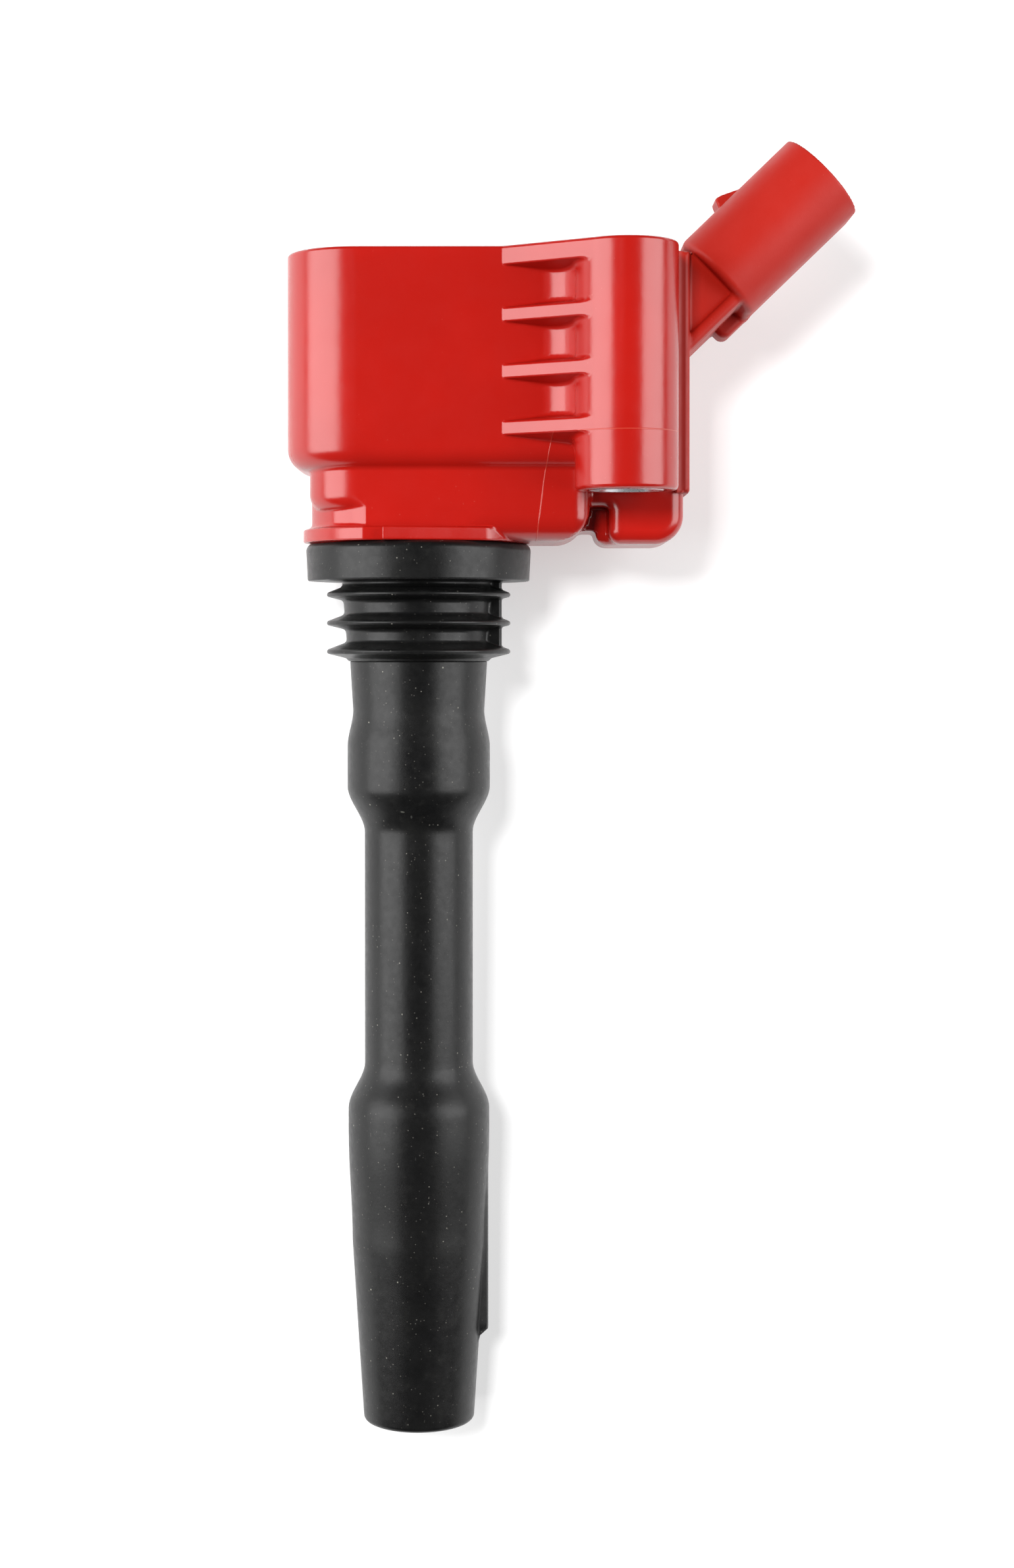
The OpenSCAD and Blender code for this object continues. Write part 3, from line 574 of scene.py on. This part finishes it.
def seal_field(x, y, z):
    """The collar, the three sealing lips and the vent channel at the right."""
    r = np.hypot(x, y)
    taper = 0.05 * (COLLAR_TOP - 1.2 - z)
    collar = both(both(r - COLLAR_R + np.maximum(taper, 0), z - COLLAR_TOP, 1.2), COLLAR_BOTTOM - z, 0.25)
    wall = r - SEAL_R - SEAL_FLARE * (z - SEAT_BOTTOM)
    body = extrude(wall, z, SEAT_BOTTOM, COLLAR_BOTTOM + 2, 0.3, 0.1)
    lip = 1e3
    for centre in LIP_HEIGHTS:
        dz, inward = z - centre, LIP_POINT_R - r
        over = dz * math.cos(LIP_OVER) - inward * math.sin(LIP_OVER)
        under = -dz * math.cos(LIP_UNDER) - inward * math.sin(LIP_UNDER)
        lip = np.minimum(lip, both(both(over, under, 0.1), r - LIP_R, 0.25))
    body = either(body, lip, 0.45)
    vent = box2(x, y, 0, VENT_RIGHT, -VENT_D, VENT_D, 0.5)
    vent = extrude(vent, z, SEAT_BOTTOM + 1, COLLAR_BOTTOM + 1, 0.3, 0.1)
    slot = np.maximum(np.hypot(x - SLOT_X, y - SLOT_Y) - SLOT_R, z - COLLAR_BOTTOM)
    body = either(body, both(vent, -slot, 0.15), 0.3)
    body = either(body, collar, 0.4)
    return np.maximum(body, SEAT_R - r)


def make_seal():
    fine = 0.32
    edge = COLLAR_R + 0.5
    return field_mesh(
        "seal_rubber", seal_field,
        spaced((-edge, edge, fine)), spaced((-edge, edge, fine)),
        spaced((SEAT_BOTTOM - 0.5, COLLAR_TOP + 0.5, 0.22)),
    )


# ---------- boot ----------

BORE_R = 5.2
BORE_TOP = contact_low[2] - 0.2
CHANNEL_R = 4.4
INSIDE_R = 8.3
GUIDE_R = 10.55


def eased(r0, r1, z0, z1, steps=14):
    return [(r0 + (r1 - r0) * float(ramp(z, z0, z1)), z) for z in np.linspace(z0, z1, steps)]


def boot_profile():
    """Outline of the boot's wall, up the outside and down the inside."""
    top = boot_high[2]
    outer = arc(7.55, 0.85, 0.85, -90, 0, 6) + [(9.25, 14)]
    outer += [(r, z) for r, z in eased(10.1, 10.7, 27.5, 44, 8)]
    outer += eased(10.7, 8.2, 47.5, 54.5) + eased(8.2, BOOT_R, 89.5, 96.5)
    outer += eased(BOOT_R, 9.95, 102.5, 108) + [(10.38, top - 0.1), (10.25, top)]
    groove_r = TUBE_R + 0.7
    inner = [(TUBE_R, top), (TUBE_R, BEAD_Z + 1.6), (groove_r, BEAD_Z + 0.4), (groove_r, BEAD_Z - 0.4),
             (TUBE_R, BEAD_Z - 1.6), (TUBE_R, TOWER_BOTTOM), (CHANNEL_R, TOWER_BOTTOM),
             (CHANNEL_R, BORE_TOP), (BORE_R, BORE_TOP), (BORE_R, 0.5), (BORE_R + 0.15, 0.15),
             (BORE_R + 0.5, 0)]
    return outer + inner


def fill_in(profile, pitch):
    """Adds points along a profile's long straight stretches."""
    filled = []
    for (r0, z0), (r1, z1) in zip(profile, profile[1:] + profile[:1]):
        n = max(1, round(math.hypot(r1 - r0, z1 - z0) / pitch))
        filled += [(r0 + (r1 - r0) * i / n, z0 + (z1 - z0) * i / n) for i in range(n)]
    return filled


def make_boot():
    """The boot, with its guide rib drawn out of the wall on the connector's side."""
    boot = turned("boot_rubber", fill_in(boot_profile(), 1.0), segments=160)
    for v in boot.data.vertices:
        x, y, z = v.co / MM
        r = math.hypot(x, y)
        if r < INSIDE_R or x < 0:
            continue
        across = 1 - float(ramp(abs(y), 1.3, 2.0))
        height = float(ramp(z, 12.8, 13.5)) * (1 - float(ramp(z, 40, 46)))
        grow = max(0.0, GUIDE_R - r) * across * height
        v.co.x += grow * MM * x / r
        v.co.y += grow * MM * y / r
    return boot


# ---------- metal parts ----------


def make_sleeve():
    inner = SLEEVE_R - 2
    low, high = BOSS_FLOOR, HEAD_TOP
    edge = 0.45
    profile = [(inner + edge, low), (SLEEVE_R - 0.2, low), (SLEEVE_R, low + 0.2), (SLEEVE_R, high - 0.2),
               (SLEEVE_R - 0.2, high), (inner + edge, high), (inner, high - edge), (inner, low + edge)]
    return turned("sleeve_steel", profile, 96, (BOLT_X, BOLT_Y), sharp_deg=25)


def make_contact():
    low, high = contact_low[2], contact_high[2]
    flange, edge = 2.6, 0.35
    rim, peg = 3.45, 2.2
    profile = [(0.01, low + 0.8), (1.6, low + 0.8), (2.3, low + 0.1)]
    profile += arc(rim, low + edge, edge, -90, 0, 5) + arc(rim, low + flange - edge, edge, 0, 90, 5)
    profile += [(peg, low + flange), (peg, high - 0.3), (peg - 0.3, high), (0.01, high)]
    return turned("contact_button", profile, 64, sharp_deg=30)


def make_spring():
    """The wire wound between the sprung contact and the resistor's cap, closed at both ends."""
    wire_r = 0.4
    coil_r = spring_high[0] - wire_r
    low, high = spring_low[2] + wire_r, spring_high[2] - wire_r
    turns, end_turns = 19, 1.5
    open_turns = turns - 2 * end_turns
    end_pitch = 2 * wire_r
    pitch = (high - low - 2 * end_turns * end_pitch) / open_turns
    per_turn, sides = 30, 12
    t = np.arange(turns * per_turn + 1) / per_turn
    z = low + np.minimum(t, end_turns) * end_pitch
    z += np.clip(t - end_turns, 0, open_turns) * pitch
    z += np.clip(t - turns + end_turns, 0, end_turns) * end_pitch
    a = 2 * math.pi * t
    b = np.arange(sides) * 2 * math.pi / sides
    r = coil_r + wire_r * np.cos(b)[None, :]
    rise = z[:, None] + wire_r * np.sin(b)[None, :]
    points = np.stack([r * np.cos(a)[:, None], r * np.sin(a)[:, None], rise], 2)
    faces = []
    for i in range(len(t) - 1):
        for k in range(sides):
            n = (k + 1) % sides
            faces.append((i * sides + k, (i + 1) * sides + k, (i + 1) * sides + n, i * sides + n))
    last = (len(t) - 1) * sides
    faces.append(tuple(range(sides)))
    faces.append(tuple(last + k for k in reversed(range(sides))))
    return make_mesh("spring_wire", points.reshape(-1, 3), faces)


# ---------- materials ----------


class Shader:
    """A principled material and the nodes that feed it."""

    def __init__(self, name, **sockets):
        self.material = bpy.data.materials.new(name)
        self.material.use_nodes = True
        self.nodes = self.material.node_tree.nodes
        self.links = self.material.node_tree.links
        self.body = self.nodes["Principled BSDF"]
        for socket, value in sockets.items():
            self.body.inputs[socket.replace("_", " ")].default_value = value
        self.place = self.nodes.new("ShaderNodeTexCoord").outputs["Object"]

    def noise(self, per_mm, detail=3, roughness=0.6, stretch=None):
        node = self.nodes.new("ShaderNodeTexNoise")
        node.inputs["Scale"].default_value = per_mm / MM
        node.inputs["Detail"].default_value = detail
        node.inputs["Roughness"].default_value = roughness
        self.links.new(self.stretched(stretch), node.inputs["Vector"])
        return node.outputs["Fac"]

    def stretched(self, stretch):
        if stretch is None:
            return self.place
        node = self.nodes.new("ShaderNodeMapping")
        node.inputs["Scale"].default_value = stretch
        self.links.new(self.place, node.inputs["Vector"])
        return node.outputs["Vector"]

    def math(self, operation, a, b=None, c=None):
        node = self.nodes.new("ShaderNodeMath")
        node.operation = operation
        for socket, value in zip(node.inputs, (a, b, c)):
            if value is None:
                continue
            if isinstance(value, (int, float)):
                socket.default_value = value
            else:
                self.links.new(value, socket)
        return node.outputs[0]

    def span(self, value, low, high, out_low=0.0, out_high=1.0):
        """A value mapped smoothly from one range to another, and held at the ends."""
        node = self.nodes.new("ShaderNodeMapRange")
        node.interpolation_type = "SMOOTHSTEP"
        for n, number in enumerate((low, high, out_low, out_high), 1):
            node.inputs[n].default_value = number
        self.links.new(value, node.inputs[0])
        return node.outputs[0]

    def mix(self, factor, a, b):
        """One colour over another. Each is a colour or another mix."""
        node = self.nodes.new("ShaderNodeMix")
        node.data_type = "RGBA"
        self.links.new(factor, node.inputs[0])
        for socket, value in ((node.inputs[6], a), (node.inputs[7], b)):
            if isinstance(value, tuple):
                socket.default_value = (*value, 1)
            else:
                self.links.new(value, socket)
        return node.outputs[2]

    def bump(self, height, depth_mm, normal=None):
        node = self.nodes.new("ShaderNodeBump")
        node.inputs["Distance"].default_value = depth_mm * MM
        self.links.new(height, node.inputs["Height"])
        if normal is not None:
            self.links.new(normal, node.inputs["Normal"])
        return node.outputs["Normal"]

    def xyz(self):
        node = self.nodes.new("ShaderNodeSeparateXYZ")
        self.links.new(self.place, node.inputs[0])
        return node.outputs

    def feed(self, socket, value):
        self.links.new(value, self.body.inputs[socket])
        return self


def moulded_red(name, colour, roughness, specular, grain, flash=False):
    """Red moulded plastic: slow colour drift, a fine grain and, on the case, its mould's flash line and
    seam, raised in the bump and lightened with a painted highlight.
    """
    s = Shader(name, Specular_IOR_Level=specular)
    drift = s.noise(0.05, 2)
    dark, light = tuple(c * 0.94 for c in colour), tuple(c * 1.05 for c in colour)
    tone = s.mix(s.span(drift, 0.3, 0.7), dark, light)
    fleck = s.span(s.noise(2.4, 2, 0.5), 0.74, 0.8)
    tone = s.mix(s.math("MULTIPLY", fleck, 0.10), tone, (0.75, 0.25, 0.2))
    peel = s.bump(s.noise(0.5, 2), 0.02)
    normal = s.bump(s.noise(5.0, 3, 0.7), grain, peel)
    if flash:
        x, y, z = s.xyz()
        low_z, mid_z, high_z = 0.1331, 0.1400, 0.1486
        start_x, lean, bend = 0.0177, 0.125, 6.0
        front_y, boss_x, boss_y = -0.0095, 0.0235, -0.0160
        straight = s.math("MULTIPLY_ADD", s.math("SUBTRACT", z, low_z), lean, start_x)
        above = s.math("MAXIMUM", s.math("SUBTRACT", z, mid_z), 0)
        line = s.math("ADD", straight, s.math("MULTIPLY", s.math("POWER", above, 2), bend))
        near = s.span(s.math("ABSOLUTE", s.math("SUBTRACT", x, line)), 0.00002, 0.00009, 1.0, 0.0)
        front = s.math("LESS_THAN", y, front_y)
        under = s.math("LESS_THAN", z, high_z)
        flash_and_highlight = s.math("MULTIPLY", s.math("MULTIPLY", near, front), under)
        seam = s.span(s.math("ABSOLUTE", s.math("SUBTRACT", z, high_z)), 0.00003, 0.0001, 1.0, 0.0)
        boss = s.math("MULTIPLY", s.math("GREATER_THAN", x, boss_x), s.math("LESS_THAN", y, boss_y))
        flash_and_highlight = s.math("MAXIMUM", flash_and_highlight, s.math("MULTIPLY", seam, boss))
        # The flash line and the seam on the boss are lightened here as a painted highlight; the bump below
        # raises them as real lines.
        tone = s.mix(s.math("MULTIPLY", flash_and_highlight, 0.22), tone, (0.8, 0.16, 0.10))
        normal = s.bump(flash_and_highlight, 0.03, normal)
    s.feed("Base Color", tone)
    s.feed("Roughness", s.span(s.noise(0.3, 3), 0.2, 0.8, roughness * 0.88, roughness * 1.12))
    s.feed("Normal", normal)
    return s.material


def dusty_rubber(name):
    """Black silicone rubber with a satin skin, moulding dust and short pale fibres."""
    s = Shader(name, Specular_IOR_Level=0.33)
    base = s.mix(s.span(s.noise(0.12, 3), 0.3, 0.7), (0.0036, 0.0036, 0.0037), (0.0065, 0.0065, 0.0064))
    bloom = s.math("MULTIPLY", s.span(s.noise(0.5, 5, 0.7), 0.52, 0.75), 0.5)
    tone = s.mix(bloom, base, (0.014, 0.014, 0.013))
    for scale, size, share, colour, strength, stretch in (
        (1.5, 0.17, 0.40, (0.11, 0.105, 0.095), 0.6, None),
        (0.9, 0.12, 0.50, (0.22, 0.21, 0.185), 0.7, None),
        (0.45, 0.07, 0.60, (0.34, 0.33, 0.28), 0.8, None),
        (0.30, 0.055, 0.55, (0.16, 0.16, 0.15), 0.7, (1.0, 1.0, 0.28)),
        (0.33, 0.05, 0.66, (0.22, 0.22, 0.19), 0.7, (0.3, 0.8, 0.9)),
    ):
        cells = s.nodes.new("ShaderNodeTexVoronoi")
        cells.inputs["Scale"].default_value = scale / MM
        s.links.new(s.stretched(stretch), cells.inputs["Vector"])
        parts = s.nodes.new("ShaderNodeSeparateColor")
        s.links.new(cells.outputs["Color"], parts.inputs[0])
        speck = s.span(cells.outputs["Distance"], size * 0.5, size, 1.0, 0.0)
        chosen = s.math("GREATER_THAN", parts.outputs[0], share)
        vary = s.math("MULTIPLY", parts.outputs[1], strength)
        tone = s.mix(s.math("MULTIPLY", s.math("MULTIPLY", speck, chosen), vary), tone, colour)
    s.feed("Base Color", tone)
    s.feed("Roughness", s.span(s.noise(0.8, 4), 0.25, 0.75, 0.31, 0.41))
    s.feed("Normal", s.bump(s.noise(2.2, 4, 0.65), 0.012))
    return s.material


def worked_metal(name, colour, roughness, stretch=(1, 1, 1), depth=0.01, dark=0.75):
    """Bare metal with fine tool marks and dull patches."""
    s = Shader(name, Metallic=1.0)
    marks = s.noise(1.6, 4, 0.6, stretch)
    dull = s.span(s.noise(0.35, 3), 0.35, 0.7)
    s.feed("Base Color", s.mix(dull, tuple(c * dark for c in colour), colour))
    s.feed("Roughness", s.span(marks, 0.2, 0.8, roughness * 0.8, roughness * 1.3))
    s.feed("Normal", s.bump(marks, depth))
    return s.material


def plain_mould(name, colour, roughness, depth=0.02, per_mm=1.5, stretch=None):
    """Hidden moulded, cast or wound parts: colour drift and a surface texture."""
    s = Shader(name)
    dark = tuple(c * 0.8 for c in colour)
    s.feed("Base Color", s.mix(s.span(s.noise(0.3, 3), 0.3, 0.7), dark, colour))
    s.feed("Roughness", s.span(s.noise(1.0, 3), 0.2, 0.8, roughness * 0.85, min(1, roughness * 1.15)))
    s.feed("Normal", s.bump(s.noise(per_mm, 3, 0.6, stretch), depth))
    return s.material


case_red = moulded_red("case_red", (0.355, 0.0072, 0.0042), 0.24, 0.68, 0.006, flash=True)
connector_red = moulded_red("connector_red", (0.37, 0.013, 0.007), 0.5, 0.36, 0.012)
rubber = dusty_rubber("boot_rubber")
zinc = worked_metal("zinc_steel", (0.72, 0.73, 0.76), 0.28, (1, 1, 0.15))
tin = worked_metal("tinned_blade", (0.78, 0.77, 0.74), 0.25, (1, 0.15, 1))
brass = worked_metal("contact_brass", (0.72, 0.53, 0.25), 0.3, (1, 1, 0.2))
spring_steel = worked_metal("spring_steel", (0.55, 0.56, 0.58), 0.3)
cap_steel = worked_metal("cap_steel", (0.66, 0.66, 0.68), 0.3, (1, 1, 0.2))
core_steel = worked_metal("core_steel", (0.33, 0.34, 0.36), 0.45, (0.2, 0.2, 3), 0.05)
copper_plate = worked_metal("copper_plate", (0.64, 0.33, 0.18), 0.35)
copper_wire = worked_metal("copper_wire", (0.55, 0.2, 0.06), 0.35, (4, 0.2, 0.2), 0.1)
black_resin = plain_mould("black_resin", (0.012, 0.012, 0.013), 0.25)
magnet_grey = plain_mould("magnet_grey", (0.05, 0.05, 0.055), 0.7)
buffer_foam = plain_mould("buffer_foam", (0.22, 0.22, 0.19), 0.9, 0.1, 4)
bobbin_cream = plain_mould("bobbin_cream", (0.62, 0.58, 0.46), 0.45)
bobbin_black = plain_mould("bobbin_black", (0.015, 0.015, 0.016), 0.45)
driver_black = plain_mould("driver_black", (0.012, 0.012, 0.013), 0.6, 0.03, 5)
capacitor_blue = plain_mould("capacitor_blue", (0.02, 0.08, 0.28), 0.3)
ceramic = plain_mould("resistor_ceramic", (0.7, 0.64, 0.5), 0.35)

NODE_MATERIALS = {
    "potting_resin": black_resin, "yoke_core": core_steel, "center_core": core_steel,
    "bias_magnet": magnet_grey, "core_buffers": buffer_foam, "primary_bobbin": bobbin_cream,
    "primary_winding": copper_wire, "secondary_bobbin": bobbin_black, "secondary_winding": copper_wire,
    "primary_leads": copper_wire, "igniter_package": driver_black, "heat_spreader": copper_plate,
    "igniter_leads": tin, "noise_capacitor": capacitor_blue, "hv_diode": driver_black,
    "hv_terminal": brass, "resistor_body": ceramic, "resistor_caps": cap_steel,
}
for i in range(4):
    NODE_MATERIALS[f"terminal_{i + 1}"] = tin


def paint(obj, material):
    obj.data.materials.clear()
    obj.data.materials.append(material)
    return obj


for node, material in NODE_MATERIALS.items():
    paint(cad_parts[node], material)


def fit(piece, material, node, body="coil"):
    """Gives a new piece its material and its body, and hides the CAD node that it stands for."""
    paint(piece, material)
    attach(piece, body)
    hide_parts(node)


fit(make_case(), case_red, "case")
for piece in make_lid():
    fit(piece, case_red, "top_cover")
fit(make_connector(), connector_red, "connector_housing")
fit(make_seal(), rubber, "seal_grommet")
fit(make_boot(), rubber, "boot")
fit(make_sleeve(), zinc, "bolt_sleeve")
fit(make_contact(), brass, "plug_contact", "contact")
spring = make_spring()
fit(spring, spring_steel, "contact_spring")
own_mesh(spring)

# ---------- camera ----------

LEAN = math.radians(1)
DISTANCE = 400.0
FOOT = (13.4, 0.0, 111.3)

camera = bpy.data.objects.new("camera", bpy.data.cameras.new("camera"))
bpy.context.scene.collection.objects.link(camera)
camera.location = Vector((FOOT[0], -DISTANCE * math.cos(LEAN), FOOT[2] + DISTANCE * math.sin(LEAN))) * MM
camera.rotation_euler = (math.radians(90) - LEAN, 0, 0)
camera.data.sensor_width = 36
camera.data.lens = 60.5
camera.data.shift_y = -0.0611
camera.data.clip_start = 0.01
bpy.context.scene.camera = camera

# ---------- studio ----------

bpy.context.scene.view_settings.view_transform = "Standard"


def make_backdrop():
    """The white surface that the part lies on, seen through from behind."""
    half, gap = 300.0, 0.6
    boot_back = 8.6
    slope = (COLLAR_R - boot_back) / COLLAR_TOP
    points = []
    for x, z in ((-half, -half), (half, -half), (half, half), (-half, half)):
        points.append((x, boot_back + gap + z * slope, z))
    plane = make_mesh("backdrop", points, [(0, 1, 2, 3)])
    material = bpy.data.materials.new("white_card")
    material.use_nodes = True
    nodes, links = material.node_tree.nodes, material.node_tree.links
    nodes.clear()
    white = nodes.new("ShaderNodeBsdfPrincipled")
    white.inputs["Base Color"].default_value = (0.58, 0.58, 0.58, 1)
    white.inputs["Roughness"].default_value = 1.0
    white.inputs["Specular IOR Level"].default_value = 0.0
    white.inputs["Emission Color"].default_value = (1, 1, 1, 1)
    white.inputs["Emission Strength"].default_value = 0.42
    clear = nodes.new("ShaderNodeBsdfTransparent")
    side = nodes.new("ShaderNodeNewGeometry")
    blend = nodes.new("ShaderNodeMixShader")
    out = nodes.new("ShaderNodeOutputMaterial")
    links.new(side.outputs["Backfacing"], blend.inputs[0])
    links.new(white.outputs[0], blend.inputs[1])
    links.new(clear.outputs[0], blend.inputs[2])
    links.new(blend.outputs[0], out.inputs["Surface"])
    plane.data.materials.append(material)


def softbox(name, azimuth, elevation, distance, width, height, power):
    """A large soft light aimed at the part. Azimuth is measured from the camera's side toward +X."""
    light = bpy.data.lights.new(name, "AREA")
    light.shape = "RECTANGLE"
    light.size, light.size_y = width * MM, height * MM
    light.energy = power
    obj = bpy.data.objects.new(name, light)
    bpy.context.scene.collection.objects.link(obj)
    a, e = math.radians(azimuth), math.radians(elevation)
    out = Vector((math.sin(a) * math.cos(e), -math.cos(a) * math.cos(e), math.sin(e)))
    aim = Vector((10, 0, 120))
    obj.location = (aim + out * distance) * MM
    obj.rotation_euler = out.to_track_quat("Z", "Y").to_euler()
    obj.visible_camera = False
    return obj


def make_world():
    """A room that the camera sees as white and that gives the part hardly any light."""
    world = bpy.data.worlds.new("room")
    bpy.context.scene.world = world
    world.use_nodes = True
    nodes, links = world.node_tree.nodes, world.node_tree.links
    background = nodes["Background"]
    background.inputs["Color"].default_value = (1, 1, 1, 1)
    ray = nodes.new("ShaderNodeLightPath")
    strength = nodes.new("ShaderNodeMapRange")
    strength.inputs[3].default_value = 0.03
    strength.inputs[4].default_value = 1.0
    links.new(ray.outputs["Is Camera Ray"], strength.inputs[0])
    links.new(strength.outputs[0], background.inputs["Strength"])


make_backdrop()
make_world()
softbox("left_box", -60, 4, 700, 700, 620, 6.6)
softbox("right_box", 58, 7, 700, 640, 600, 5.4)
key = softbox("key", -13, 14, 900, 160, 160, 6.5)
key.visible_glossy = False
